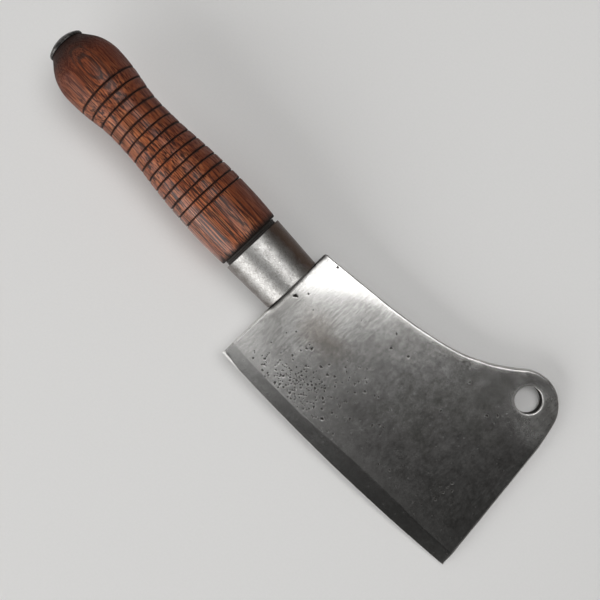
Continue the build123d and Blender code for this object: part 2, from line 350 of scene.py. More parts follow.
def corrosion_pits(seed, front_face):
    """Centres, radii, depths, stretches and turns of the rust pits on one face."""
    rng = np.random.default_rng(seed)
    clusters = PIT_CLUSTERS if front_face else UNDERSIDE_CLUSTERS
    singles = PIT_SINGLES if front_face else ()
    pits = [(x, y, r, SINGLE_DEPTH * r, s, a) for x, y, r, s, a in singles]
    for centre, spread, count in clusters:
        for _ in range(count):
            at = rng.normal(centre, spread)
            radius = PIT_RADIUS + PIT_RADIUS_EXTRA * rng.random() ** 2.5
            stretch = rng.uniform(*PIT_STRETCH)
            deep, turn = radius * rng.uniform(*PIT_DEPTH), rng.uniform(0, 3.1)
            gaps = ((math.hypot(at[0] - p[0], at[1] - p[1]), p[2]) for p in pits)
            apart = all(gap > PIT_SPACING * (radius + other) for gap, other in gaps)
            if apart and edge_distance(at) > bevel_width(at[0]) - 0.1:
                pits.append((*at, radius, deep, stretch, turn))
    return np.array(pits)


def pit_depth(points, pits):
    """Depth of the pits at each point, and how deep inside a pit it is, 0 to 1."""
    depth, mark = np.zeros(len(points)), np.zeros(len(points))
    for x, y, radius, deep, stretch, turn in pits:
        near = np.abs(points - (x, y)).max(1) < radius * stretch * 1.6
        gap = points[near] - (x, y)
        c, s = math.cos(turn), math.sin(turn)
        u, v = (gap @ (c, s)) / stretch, gap @ (-s, c)
        rim = 1 + 0.18 * np.sin(3 * np.arctan2(v, u) + turn * 5)
        rho = np.hypot(u, v) / (radius * rim)
        bowl = np.clip(1 - rho**2, 0, 1) ** 1.3
        depth[near] = np.maximum(depth[near], deep * bowl)
        mark[near] = np.maximum(mark[near], smoothstep(1.24, 0.90, rho))
    return depth, mark


def half_height(points, pits, outline, edge, hole, seed):
    """Height of one face above the blade's middle plane, with its marks."""
    x, y = points.T
    sides = distance_to(points, outline, edge == 0)
    rim = distance_to(points, hole)
    e = np.maximum(edge_distance(points), 0)
    width = bevel_width(x)
    flat = SHOULDER_HALF + TAPER * (y - TAPER_FROM)
    shoulder = SHOULDER_HALF + TAPER * (y - e + width - TAPER_FROM)
    bevel = EDGE_HALF + (shoulder - EDGE_HALF) * e / width
    hone = HONE_WIDTH + HONE_HEEL * np.exp(-((x / HONE_HEEL_RUN) ** 2))
    hone = hone + HONE_REAR * np.exp(-((x / HONE_REAR_RUN) ** 2))
    hone_top = EDGE_HALF + (shoulder - EDGE_HALF) * hone / width
    tip = EDGE_TIP + (EDGE_HALF - EDGE_TIP) * smoothstep(*TIP_WIDENS, x)
    honed = tip + (hone_top - tip) * e / hone
    # Grinding left the faces a little wavy; the bevel is truer.
    wave = sum(
        high * lattice_noise(x / along, y / across, seed + k)
        for k, (high, along, across) in enumerate(WAVES)
    )
    wave *= smoothstep(0, 6, sides)
    # Beside the ferrule the shoulder was forged down into the tang.
    from_rear = x - HEEL[0] * (SPINE_CORNER[1] - y) / (SPINE_CORNER[1] - HEEL[1])
    neck = smoothstep(*NECK_LOWER, y) * smoothstep(*NECK_UPPER, y)
    short = np.clip(NECK_REACH - from_rear, 0, NECK_REACH)
    forged = neck * (NECK_SLOPE * short + NECK_CURVE * short**2)
    spine = smoothstep(-1, 5, x) * smoothstep(-8, 20, y)
    reach = ROLL_REACH + ROLL_REAR * np.exp(-((x / ROLL_REAR_RUN) ** 2))
    rolled = ROLL_SLOPE / 2 * reach * spine * np.clip(1 - sides / reach, 0, 1) ** 2
    ground = flat - GRINDING_LOSS + wave - forged - rolled
    bevel = bevel + BEVEL_WAVE * lattice_noise(x / 8, y / 5, seed + 2)
    z = np.minimum(np.minimum(ground, bevel), honed)
    deep, pit = pit_depth(points, pits)
    z = z - deep * smoothstep(0.3, 1.0, z)
    break_radius = BREAK_RADIUS + BREAK_SPINE * spine
    break_radius = break_radius + BREAK_UNEVEN * lattice_noise(x / 6.0, y / 6.0, seed + 3)
    for gap, radius in ((sides, break_radius), (rim, HOLE_BREAK)):
        short = np.clip(radius - gap, 0, radius)
        z = z - (radius - np.sqrt(np.maximum(radius**2 - short**2, 0)))
    z = np.maximum(z, EDGE_TIP)
    bright = 0.06 + 0.94 * np.exp(-((x / HONE_BRIGHT_RUN) ** 2))
    marks = {
        "pit": pit,
        "arris": smoothstep(1.4, 0.2, np.minimum(sides, rim)) * (1 - neck * (x < NECK_REACH)),
        "bevel": smoothstep(0.12, -0.12, e - width),
        "hone": smoothstep(0.1, -0.1, e - hone) * bright,
    }
    return z, marks


def thinned(points, spacing):
    """The first point of each cell of a grid, in their old order."""
    _, first = np.unique(np.round(points / spacing).astype(int), axis=0, return_index=True)
    return points[np.sort(first)]


def blade_face(outline, hole, pits):
    """Two-dimensional triangulation of one face: points, triangles."""
    rows = []
    inward = inward_normals(outline)
    for gap in OUTLINE_ROWS:
        row = outline + inward * gap
        above_bevel = edge_distance(row) > bevel_width(row[:, 0]) + BEVEL_CLEARANCE
        rows.append(row[(gap < BEVEL_ROWS_END) | above_bevel])
    outward = (hole - HOLE) / np.linalg.norm(hole - HOLE, axis=1)[:, None]
    rows += [hole + outward * gap for gap in HOLE_ROWS]
    rows += [shoulder_rows(gap) for gap in SHOULDER_ROWS]
    guide = np.vstack(rows)
    guide = guide[inside(guide, outline) & ~inside(guide, hole)]
    clear = (distance_to(guide, outline) > GUIDE_CLEAR) & (distance_to(guide, hole) > GUIDE_CLEAR)
    guide = guide[clear]
    guide = thinned(guide, ROW_SPACING)

    gx, gy = np.meshgrid(np.arange(0, 144, GRID_STEP), np.arange(-44, 57, GRID_STEP * 0.866))
    gx = gx + (np.arange(gx.shape[0]) % 2)[:, None] * GRID_STEP / 2
    grid = np.c_[gx.ravel(), gy.ravel()]
    grid = grid[inside(grid, outline) & ~inside(grid, hole)]
    above_bevel = edge_distance(grid) > bevel_width(grid[:, 0]) + BEVEL_CLEARANCE
    beyond = np.where(above_bevel, GRID_CLEAR_SPINE, GRID_CLEAR)
    clear = (distance_to(grid, outline) > beyond) & (distance_to(grid, hole) > GRID_CLEAR)
    shoulder = np.abs(edge_distance(grid) - bevel_width(grid[:, 0])) > GRID_SHOULDER
    grid = grid[clear & shoulder]

    rings = []
    for x, y, radius, _, stretch, turn in pits:
        for share, count in PIT_RINGS:
            t = np.arange(count) * 2 * math.pi / count + share
            u, v = np.cos(t) * radius * share * stretch, np.sin(t) * radius * share
            c, s = math.cos(turn), math.sin(turn)
            rings.append(np.c_[x + u * c - v * s, y + u * s + v * c])
    rings = np.vstack(rings)
    rings = rings[inside(rings, outline) & ~inside(rings, hole)]
    clear = np.minimum(distance_to(rings, outline), distance_to(rings, hole)) > RING_CLEAR
    shoulder = np.abs(edge_distance(rings) - bevel_width(rings[:, 0])) > RING_SHOULDER
    rings = rings[clear & shoulder]
    taken = {tuple(k) for k in np.floor(rings / RING_CELL).astype(int)}
    grid = grid[[tuple(k) not in taken for k in np.floor(grid / RING_CELL).astype(int)]]
    rings = thinned(rings, RING_SPACING)

    points = np.vstack([outline, hole, guide, grid, rings])
    n, m = len(outline), len(hole)
    edges = [(i, (i + 1) % n) for i in range(n)] + [(n + i, n + (i + 1) % m) for i in range(m)]
    vertices, _, faces, _, _, _ = delaunay_2d_cdt(
        [Vector(p) for p in points], edges, [], 0, 1e-6, False
    )
    flat = np.array([v[:] for v in vertices])
    triangles = np.array([f for f in faces if len(f) == 3])
    middle = flat[triangles].mean(1)
    triangles = triangles[inside(middle, outline) & ~inside(middle, hole)]
    return flat, triangles


def bridge(upper, lower):
    """Quads between two closed loops of vertex numbers."""
    n = len(upper)
    return [(upper[i], upper[(i + 1) % n], lower[(i + 1) % n], lower[i]) for i in range(n)]


def make_blade():
    outline, edge = blade_outline()
    hole = hole_loop()
    points, faces, marks = [], [], {"pit": [], "arris": [], "bevel": [], "hone": []}
    loops = []
    for face, seed in ((1, 21), (-1, 41)):
        pits = corrosion_pits(seed, face > 0)
        flat, triangles = blade_face(outline, hole, pits)
        z, mark = half_height(flat, pits, outline, edge, hole, seed)
        base = sum(len(p) for p in points)
        points.append(np.c_[flat, face * z])
        faces += (triangles[:, ::face] + base).tolist()
        for key, values in mark.items():
            marks[key].append(values)
        n, m = len(outline), len(hole)
        loops.append((np.arange(n) + base, np.arange(n, n + m) + base))
    # Rims: rows of points between the two faces, the hole's wall rusted dark.
    for k, rust in ((0, 0.0), (1, 1.0)):
        top, bottom = loops[0][k], loops[1][k]
        everything = np.vstack(points)
        last = top
        for share in RIM_ROWS:
            base = sum(len(p) for p in points)
            points.append(everything[top] * (1 - share) + everything[bottom] * share)
            for key in marks:
                level = {"pit": rust, "arris": 0.35 * (1 - rust)}.get(key, 0.0)
                marks[key].append(np.full(len(top), level))
            ring = np.arange(len(top)) + base
            faces += bridge(last, ring)
            last = ring
        faces += bridge(last, bottom)
    tang_points, tang_faces = tang_shell()
    base = sum(len(p) for p in points)
    points.append(tang_points)
    faces += [tuple(i + base for i in f) for f in tang_faces]
    for key in marks:
        marks[key].append(np.zeros(len(tang_points)))
    marks = {key: np.concatenate(values) for key, values in marks.items()}
    return build_mesh("blade", np.vstack(points), faces, "blade", marks)


# ---- Turned pieces: closed rings of points about the tool's axis ----
AROUND = 192  # points in a ring
TURN = np.linspace(0, 2 * math.pi, AROUND, endpoint=False)


def ring_noise(along, lobes, seed):
    """Noise round a ring, with a whole number of features so that it closes."""
    return lattice_noise(along, TURN / (2 * math.pi) * lobes, seed, lobes)


def circle(x, radius):
    """Ring at x; x and radius may vary round the ring."""
    x = np.broadcast_to(np.asarray(x, float), TURN.shape)
    return np.c_[x, radius * np.cos(TURN), radius * np.sin(TURN)]


def slot_ring(x, half_width, half_thick):
    """Rectangular ring at x, for the tang and its slot."""
    c, s = np.abs(np.cos(TURN)), np.abs(np.sin(TURN))
    reach = np.minimum(half_width / np.maximum(c, 1e-9), half_thick / np.maximum(s, 1e-9))
    return np.c_[np.full(AROUND, x), reach * np.cos(TURN), reach * np.sin(TURN)]


def arc_radius(run, fall):
    """Radius of the arc that falls this far over a run from its crest."""
    return (run**2 + fall**2) / (2 * fall)


def skin(rings, closed):
    """Points and quads over a list of rings; a closed list joins its last to its first."""
    points = np.vstack(rings)
    faces = []
    count = len(rings)
    for r in range(count if closed else count - 1):
        a, b = r * AROUND, ((r + 1) % count) * AROUND
        faces += bridge(np.arange(a, a + AROUND).tolist(), np.arange(b, b + AROUND).tolist())
    return points, faces


TANG_ROOT_HALF = 7.5
TANG_TIP_HALF = 3.2
TANG_HALF = 2.3
TANG_FRONT = 0.4  # where the tang starts, inside the blade's rear edge
TANG_MIDDLE = -60.0
TANG_TIP = -139.0
TANG_END_RADIUS = 2.3
SLOT_GAP = 0.15  # clearance round the tang in wood and steel
PEEN_RINGS = (2.15, 1.9, 1.4, 0.8)
PEEN_DENT = 0.05
PEEN_BELOW = 0.03


def tang_half_width(x):
    return TANG_ROOT_HALF + (TANG_TIP_HALF - TANG_ROOT_HALF) * x / TANG_TIP


GRIP_REAR = -142.5
CAP_RADIUS = 8.9
CAP_RIM = 1.2
CAP_RISE = 2.9
CAP_BREAK = 0.35
CAP_SHY = 0.06
CAP_DENT = 0.06
CAP_HAMMERED = 0.04
CAP_WORN = 0.05
cap_sphere = arc_radius(CAP_RADIUS, CAP_RISE)
crown = GRIP_REAR - CAP_RIM - CAP_RISE


def dome_x(radius):
    """x of the butt cap's dome at a radius."""
    return crown + cap_sphere - np.sqrt(cap_sphere**2 - np.asarray(radius) ** 2)


def tang_shell():
    """The flat tang and its round end, peened over in the butt cap."""
    stations = (TANG_FRONT, TANG_MIDDLE, TANG_TIP)
    rings = [slot_ring(x, tang_half_width(x), TANG_HALF) for x in stations]
    rings.append(circle(TANG_TIP, TANG_END_RADIUS))
    rings.append(circle(dome_x(TANG_END_RADIUS) + 0.25, TANG_END_RADIUS))
    dents = PEEN_DENT * np.sin(3 * TURN + 0.4)
    for radius in PEEN_RINGS:
        rings.append(circle(dome_x(radius) + PEEN_BELOW + dents * radius / 3, radius))
    points, faces = skin(rings, False)
    ends = ((0, TANG_FRONT), (len(points) - AROUND, crown + 0.02))
    for first, x in ends:
        centre = len(points)
        points = np.vstack([points, [x, 0, 0]])
        faces += [(first + i, first + (i + 1) % AROUND, centre) for i in range(AROUND)]
    return points, faces


FERRULE_LENGTH = 25.6
FERRULE_REAR = 15.56
FERRULE_FRONT = 14.67
FERRULE_END = 2.2
FERRULE_FRONT_BREAK = 0.75
FERRULE_REAR_BREAK = 0.4
FERRULE_SHY = 0.05
FERRULE_STEP = 0.5
FERRULE_END_RINGS = (9.5, 12.0, 13.4)
TENON = 12.87
TENON_PLAY = 0.02


def make_ferrule():
    """Steel cup: worn outer skin, end wall with the tang's slot, straight inside."""
    half = tang_half_width(0) + SLOT_GAP
    thick = TANG_HALF + SLOT_GAP
    rings = [slot_ring(0, half, thick)] + [circle(0, radius) for radius in FERRULE_END_RINGS]
    for turn in np.linspace(0, math.pi / 2, 7):
        x = -FERRULE_FRONT_BREAK * (1 - math.cos(turn))
        rings.append(circle(x, FERRULE_FRONT - FERRULE_FRONT_BREAK * (1 - math.sin(turn))))
    for x in np.arange(-1.2, -FERRULE_LENGTH + 0.7, -FERRULE_STEP):
        radius = FERRULE_FRONT + (FERRULE_REAR - FERRULE_FRONT) * -x / FERRULE_LENGTH
        wear = 0.018 * ring_noise(x / 7.0, 13, 61) + 0.006 * ring_noise(x / 2.2, 40, 62)
        rings.append(circle(x, radius - FERRULE_SHY + wear))
    for turn in np.linspace(0, math.pi / 2, 5):
        x = -FERRULE_LENGTH + FERRULE_REAR_BREAK * (1 - math.sin(turn))
        rings.append(circle(x, FERRULE_REAR - FERRULE_REAR_BREAK * (1 - math.cos(turn))))
    rings += [circle(x, TENON + TENON_PLAY) for x in (-FERRULE_LENGTH, -FERRULE_END)]
    rings.append(slot_ring(-FERRULE_END, half, thick))
    points, faces = skin(rings, True)
    return build_mesh("ferrule", points, faces, "ferrule", sharp=50)


WASHER_THICK = 1.1
WASHER_RADIUS = 14.1
WASHER_ROUND = 0.42
WASHER_UNEVEN = 0.10
WASHER_PLAY = 0.01
WASHER_BORE = TENON + 0.03


def make_washer(name, front_x, seed):
    """Thin leather washer, its rim rounded and uneven from being squeezed."""
    rim = WASHER_UNEVEN * ring_noise(0.5, 25, seed) - WASHER_UNEVEN
    rings = [circle(front_x - WASHER_PLAY, WASHER_BORE)]
    for turn in np.linspace(0, math.pi, 9):
        depth = WASHER_THICK / 2 * (1 - math.cos(turn))
        depth = np.clip(depth, WASHER_PLAY, WASHER_THICK - WASHER_PLAY)
        rounded_off = WASHER_ROUND * (1 - math.sin(turn)) ** 1.5
        rings.append(circle(front_x - depth, WASHER_RADIUS + rim - rounded_off))
    rings.append(circle(front_x - WASHER_THICK + WASHER_PLAY, WASHER_BORE))
    points, faces = skin(rings, True)
    return build_mesh(name, points, faces, name, sharp=60)


SWELL_AT, SWELL = -43.5, 16.3
WAIST_AT, WAIST = -99.0, 13.05
BULB_AT, BULB = -126.5, 15.6
BULB_TAIL = (19.9, math.radians(37.6))  # radius and turn of the round behind the bulb
REAR_FACE = 8.4
BLEND = 0.62  # share of a flank that the crest's arc takes
GRIP_FRONT = -FERRULE_LENGTH - 2 * WASHER_THICK
FRONT_FACE = 15.65
GROOVES = 14
GROOVE_FRONT = -50.7
GROOVE_PITCH = 5.09
GROOVE_HALF = 0.44
GROOVE_DEPTH = 0.6
GROOVE_OFFSETS = (0.04, 0.13, 0.24, 0.34, 0.44, 0.55, 0.75)
GROOVE_CLEAR = 0.95
GRIP_STEP = 0.65
GRIP_BREAK = 0.7
GRIP_SHY = 0.05
TENON_BREAK = 0.6


def grip_radius(x):
    """Turned outline of the grip at x, without its grooves."""
    if x > SWELL_AT:
        sphere = arc_radius(GRIP_FRONT - SWELL_AT, SWELL - FRONT_FACE)
        return SWELL - sphere + math.sqrt(sphere**2 - (x - SWELL_AT) ** 2)
    if x < BULB_AT:
        sphere, angle = BULB_TAIL
        if x > BULB_AT - sphere * math.sin(angle):
            return BULB - sphere + math.sqrt(sphere**2 - (x - BULB_AT) ** 2)
        tail_x = BULB_AT - sphere * math.sin(angle)
        tail = BULB - sphere * (1 - math.cos(angle))
        return tail + (x - tail_x) * (REAR_FACE - tail) / (GRIP_REAR - tail_x)
    crest_at, crest = (SWELL_AT, SWELL) if x > WAIST_AT else (BULB_AT, BULB)
    joint_at = crest_at + BLEND * (WAIST_AT - crest_at)
    joint = crest + BLEND * (WAIST - crest)
    if abs(x - crest_at) < abs(joint_at - crest_at):
        sphere = arc_radius(joint_at - crest_at, crest - joint)
        return crest - sphere + math.sqrt(sphere**2 - (x - crest_at) ** 2)
    sphere = arc_radius(joint_at - WAIST_AT, joint - WAIST)
    return WAIST + sphere - math.sqrt(sphere**2 - (x - WAIST_AT) ** 2)


def grip_stations():
    """x of every outer ring, close together in the grooves."""
    grooves = GROOVE_FRONT - GROOVE_PITCH * np.arange(GROOVES)
    inner = np.array([-offset for offset in reversed(GROOVE_OFFSETS)] + list(GROOVE_OFFSETS))
    fine = (grooves[:, None] + inner).ravel()
    plain = np.arange(GRIP_FRONT - 1.0, GRIP_REAR + 0.6, -GRIP_STEP)
    plain = plain[np.abs(plain[:, None] - grooves).min(1) > GROOVE_CLEAR]
    return np.sort(np.concatenate([fine, plain]))[::-1], grooves


def make_handle():
    """Turned hardwood grip with fourteen burnt grooves, a tenon and the tang's slot."""
    stations, grooves = grip_stations()
    rings = [circle(-FERRULE_END, TENON - TENON_BREAK)]
    rings.append(circle(-FERRULE_END - TENON_BREAK, TENON))
    rings += [circle(GRIP_FRONT, TENON), circle(GRIP_FRONT, FRONT_FACE - 0.75)]
    char = [np.ones(AROUND)] * 4
    for turn in np.linspace(0.25, 1, 4) * math.pi / 2:
        x = GRIP_FRONT - GRIP_BREAK * (1 - math.cos(turn))
        rings.append(circle(x, FRONT_FACE - GRIP_BREAK * (1 - math.sin(turn))))
        char.append(np.ones(AROUND))
    for x in stations:
        k = int(np.abs(grooves - x).argmin())
        near = float(smoothstep(2.4, 0.8, abs(x - grooves[k])))
        shift = 0.16 * ring_noise(k * 3.7, 8, 71) + 0.05 * ring_noise(k * 2.3, 38, 72)
        width = GROOVE_HALF * (1 + 0.22 * ring_noise(k * 5.1, 14, 73))
        deep = GROOVE_DEPTH * (1 + 0.28 * ring_noise(k * 4.3, 16, 74))
        off = np.abs(x - grooves[k]) / width
        groove = deep * np.where(off < 1, (1 - off**2.2), 0)
        worn = 0.06 * np.exp(-((off - 1.1) / 0.5) ** 2)
        uneven = 0.05 * ring_noise(x / 9.0, 10, 75) + 0.018 * ring_noise(x / 5.0, 60, 76)
        radius = grip_radius(x) - GRIP_SHY - groove - worn + uneven
        rings.append(circle(x + shift * near, radius))
        char.append(np.clip(1.25 - off * 0.75, 0, 1))
    rings += [circle(GRIP_REAR, REAR_FACE), circle(GRIP_REAR, TANG_END_RADIUS + SLOT_GAP)]
    rings.append(circle(TANG_TIP - SLOT_GAP, TANG_END_RADIUS + SLOT_GAP))
    for x in (TANG_TIP - SLOT_GAP, TANG_MIDDLE, -FERRULE_END):
        rings.append(slot_ring(x, tang_half_width(x) + SLOT_GAP, TANG_HALF + SLOT_GAP))
    char += [np.ones(AROUND)] * 6
    points, faces = skin(rings, True)
    marks = {"groove": np.concatenate(char)}
    return build_mesh("handle", points, faces, "handle", marks, sharp=65)


def make_butt_cap():
    """Domed washer, hammered a little out of true, with its rim broken."""
    hole = TANG_END_RADIUS + SLOT_GAP / 3
    dents = CAP_DENT * ring_noise(0.5, 13, 81)
    rings = [circle(GRIP_REAR, hole), circle(dome_x(hole) + 0.12, hole)]
    for radius in np.linspace(hole + 0.12, CAP_RADIUS - 0.5, 14):
        hammer = CAP_HAMMERED * ring_noise(radius / 2.2, 9, 82) * min(1, radius / 4)
        rings.append(circle(dome_x(radius) + CAP_WORN + hammer, radius))
    rim_x = GRIP_REAR - CAP_RIM
    for turn in np.linspace(0.15, 1, 6) * math.pi / 2:
        x = rim_x + 0.5 * (1 - math.cos(turn)) - 0.1
        rings.append(circle(x, CAP_RADIUS - CAP_BREAK * (1 - math.sin(turn)) - CAP_SHY + dents))
    for turn in np.linspace(0, 1, 4) * math.pi / 2:
        x = GRIP_REAR - CAP_BREAK * (1 - math.sin(turn))
        rings.append(circle(x, CAP_RADIUS - CAP_BREAK * (1 - math.cos(turn)) - CAP_SHY + dents))
    points, faces = skin(rings, True)
    return build_mesh("butt_cap", points, faces, "butt_cap", sharp=60)


# ---- Materials ----
materials = bpy.data.materials


def opaque(colour):
    return colour if isinstance(colour, bpy.types.NodeSocket) else (*colour, 1.0)


class Recipe:
    """Builds the nodes of a material or a world from sockets and plain values."""

    def __init__(self, owner):
        owner.use_nodes = True
        self.owner, self.tree = owner, owner.node_tree
        self.tree.nodes.clear()

    def node(self, kind, inputs=(), **settings):
        """A node with some inputs given, in order or by name."""
        made = self.tree.nodes.new(kind)
        for key, value in settings.items():
            setattr(made, key, value)
        named = inputs.items() if isinstance(inputs, dict) else enumerate(inputs)
        for key, value in named:
            if isinstance(value, bpy.types.NodeSocket):
                self.tree.links.new(value, made.inputs[key])
            else:
                made.inputs[key].default_value = value
        return made

    def tool_mm(self):
        """Tool-frame coordinates in millimetres."""
        coords = self.node("ShaderNodeTexCoord").outputs["Object"]
        place = (coords, tool_origin, (0, tilt, 0), (MM, MM, MM))
        return self.node("ShaderNodeMapping", place, vector_type="TEXTURE").outputs[0]

    def stretch(self, vector, scale, shift=(0, 0, 0)):
        place = (vector, shift, (0, 0, 0), scale)
        return self.node("ShaderNodeMapping", place).outputs[0]

    def noise(self, vector, scale, detail, rough, distortion=0.0):
        made = {"Vector": vector, "Scale": scale, "Detail": detail, "Roughness": rough}
        made["Distortion"] = distortion
        return self.node("ShaderNodeTexNoise", made).outputs["Fac"]

    def grain(self, vector, scale, detail, rough, shift=(0, 0, 0), distortion=0.0):
        """Noise with so many features to the millimetre along each axis."""
        return self.noise(self.stretch(vector, scale, shift), 1.0, detail, rough, distortion)

    def cells(self, vector):
        """Distance to the nearest of one scattered point per unit."""
        made = {"Vector": vector, "Scale": 1.0, "Randomness": 1.0}
        return self.node("ShaderNodeTexVoronoi", made, feature="F1").outputs["Distance"]

    def band(self, value, low, high, to_low=0.0, to_high=1.0, kind="SMOOTHSTEP"):
        steps = (value, low, high, to_low, to_high)
        return self.node("ShaderNodeMapRange", steps, interpolation_type=kind).outputs[0]

    def zone(self, value, noise, ragged, low, high):
        """A band whose border is made ragged by noise."""
        return self.band(self.total((value, 1.0), (noise, ragged)), low, high)

    def math(self, operation, *terms):
        return self.node("ShaderNodeMath", terms, operation=operation).outputs[0]

    def times(self, a, b):
        return self.math("MULTIPLY", a, b)

    def most(self, a, b):
        return self.math("MAXIMUM", a, b)

    def total(self, *terms):
        """Sum of socket times weight over the terms."""
        result = None
        for socket, weight in terms:
            part = socket if weight == 1.0 else self.times(socket, weight)
            result = part if result is None else self.math("ADD", result, part)
        return result

    def away(self, x, y, place, weights):
        """Distance from a place, its two squares weighted."""
        gaps = [self.math("ADD", socket, -at) for socket, at in zip((x, y), place)]
        squares = [self.times(gap, gap) for gap in gaps]
        return self.math("SQRT", self.total(*zip(squares, weights)))

    def mix(self, share, a, b):
        made = {0: share, 6: opaque(a), 7: opaque(b)}
        return self.node("ShaderNodeMix", made, data_type="RGBA").outputs[2]

    def tint(self, colour, share, strength, target):
        """The colour mixed toward a target by share times strength."""
        return self.mix(self.times(share, strength), colour, target)

    def axes(self, vector):
        return self.node("ShaderNodeSeparateXYZ", [vector]).outputs[:3]

    def mark(self, name):
        return self.node("ShaderNodeAttribute", attribute_name=name).outputs["Fac"]

    def relief(self, *layers):
        """Bumps laid over one another, each a height and its depth in millimetres."""
        under = {}
        for height, depth in layers:
            made = {"Strength": 1.0, "Distance": depth * MM, "Height": height, **under}
            under = {"Normal": self.node("ShaderNodeBump", made).outputs[0]}
        return under["Normal"]

    def surface(self, **inputs):
        named = {name.replace("_", " "): value for name, value in inputs.items()}
        shader = self.node("ShaderNodeBsdfPrincipled", named)
        self.node("ShaderNodeOutputMaterial", [shader.outputs[0]])
        return self.owner


STEEL_DARK = (0.34, 0.332, 0.320)
STEEL_LIGHT = (0.60, 0.595, 0.58)
STEEL_WORN_AND_HIGHLIGHT = (0.84, 0.83, 0.81)
RUST_BLACK = (0.013, 0.0105, 0.009)
STAIN_BROWN = (0.24, 0.208, 0.178)
PATINA_AND_SHADE_DARK, PATINA_PALE = (0.22, 0.212, 0.20), (0.70, 0.69, 0.67)
BEVEL_GREY = (0.44, 0.44, 0.43)
GRIME_AND_SHADE = (0.17, 0.165, 0.155)
SOOT_AND_SHADE = (0.014, 0.011, 0.009)
STAIN_AT = (27.0, -5.5)
HIGHLIGHT_AT = (6.0, 21.0)
LOBE_AT = (123.0, 43.0)


def blade_steel():
    """Old carbon steel, ground across the blade, patinated in clouds and pitted."""
    r = Recipe(materials.new("blade_steel"))
    p = r.tool_mm()
    across = r.grain(p, (2.1, 0.08, 2.1), 3.0, 0.65)
    fine = r.grain(p, (8.0, 0.35, 8.0), 2.0, 0.5, (3, 7, 1))
    along = r.grain(p, (0.12, 3.2, 3.2), 3.0, 0.6, (11, 2, 5))
    clouds = r.grain(p, (0.055, 0.075, 0.06), 4.0, 0.62, distortion=0.4)
    mottle = r.grain(p, (0.75, 0.6, 0.7), 5.0, 0.65, (5, 5, 5))
    grain = r.grain(p, (1.3, 0.30, 1.3), 2.0, 0.6, (6, 4, 2))
    shade = r.total(
        (across, 0.40), (mottle, 0.13), (clouds, 0.40), (along, 0.10), (fine, 0.21), (grain, 0.38)
    )
    colour = r.mix(r.band(shade, 0.63, 1.05), STEEL_DARK, STEEL_LIGHT)
    x, y, _ = r.axes(p)
    # Toward the toe the patina breaks up into small dark and pale patches; their darkening toward
    # the toe is partly painted shade.
    patches = r.grain(p, (0.21, 0.24, 0.21), 5.0, 0.68, (7, 3, 9))
    toward_toe = r.band(x, 36.0, 92.0)
    patina_and_shade = r.times(r.band(patches, 0.50, 0.64), toward_toe)
    rubbed = r.times(r.band(patches, 0.49, 0.38), toward_toe)
    colour = r.tint(colour, patina_and_shade, 0.44, PATINA_AND_SHADE_DARK)
    colour = r.tint(colour, rubbed, 0.26, PATINA_PALE)
    off = r.away(x, y, STAIN_AT, (0.5, 1.5))
    colour = r.tint(colour, r.zone(off, clouds, 10.0, 20.0, 6.0), 0.62, STAIN_BROWN)
    # Painted highlight: the colour is lightened beside the spine's rear corner. Below it, beside
    # the ferrule, grime and painted shade darken it.
    corner = r.away(x, y, HIGHLIGHT_AT, (0.8, 1.0))
    painted_highlight = r.zone(corner, clouds, 10.0, 33.0, 5.0)
    colour = r.tint(colour, painted_highlight, 0.50, STEEL_WORN_AND_HIGHLIGHT)
    beside = r.times(r.band(y, 4.0, -4.0), r.band(y, -21.0, -15.0))
    grime_and_shade = r.times(r.band(x, 15.0, 4.0), beside)
    colour = r.tint(colour, grime_and_shade, 0.62, GRIME_AND_SHADE)
    # Soot and painted shade darken the blade along its rear edge beside the ferrule.
    soot_and_shade = r.times(r.zone(x, mottle, 2.4, 4.7, 1.1), r.band(y, -18.0, -11.0))
    heel = r.band(y, -20.0, -32.0)
    colour = r.tint(colour, heel, 0.30, STEEL_WORN_AND_HIGHLIGHT)
    bevel, arris, hone = r.mark("bevel"), r.mark("arris"), r.mark("hone")
    colour = r.tint(colour, bevel, 0.40, BEVEL_GREY)
    colour = r.tint(colour, arris, 0.34, STEEL_WORN_AND_HIGHLIGHT)
    colour = r.tint(colour, hone, 0.85, STEEL_WORN_AND_HIGHLIGHT)
    specks = r.band(r.cells(r.stretch(p, (0.36, 0.36, 0.36), (2, 9, 4))), 0.075, 0.035)
    dark = r.most(r.mark("pit"), r.times(specks, 0.45))
    colour = r.tint(colour, soot_and_shade, 0.96, SOOT_AND_SHADE)
    colour = r.tint(colour, dark, 0.96, RUST_BLACK)
    rough = r.band(mottle, 0.25, 0.75, 0.215, 0.245)
    # Hanging and wiping have scuffed the lobe round the hole to a softer grey.
    lobe = r.away(x, y, LOBE_AT, (1.0, 1.0))
    drift = r.grain(p, (0.06, 0.06, 0.06), 0.0, 0.5, (3, 3, 8))
    scuff = r.zone(lobe, drift, 9.0, 27.0, 7.0)
    rough = r.total(
        (rough, 1.0), (dark, 0.40), (bevel, -0.045), (hone, 0.30), (scuff, 0.055), (arris, 0.10),
        (soot_and_shade, 0.18),
    )
    normal = r.relief((across, 0.0027), (fine, 0.0030), (along, 0.0012), (mottle, 0.0013))
    return r.surface(Base_Color=colour, Metallic=1.0, Roughness=rough, Normal=normal)


HAZE_DARK, HAZE_PALE = (0.33, 0.323, 0.312), (0.44, 0.432, 0.418)
GRIT_DARK, GRIT_PALE = (0.16, 0.145, 0.13), (0.64, 0.63, 0.61)
REFLECTION_BROWN = (0.070, 0.037, 0.022)


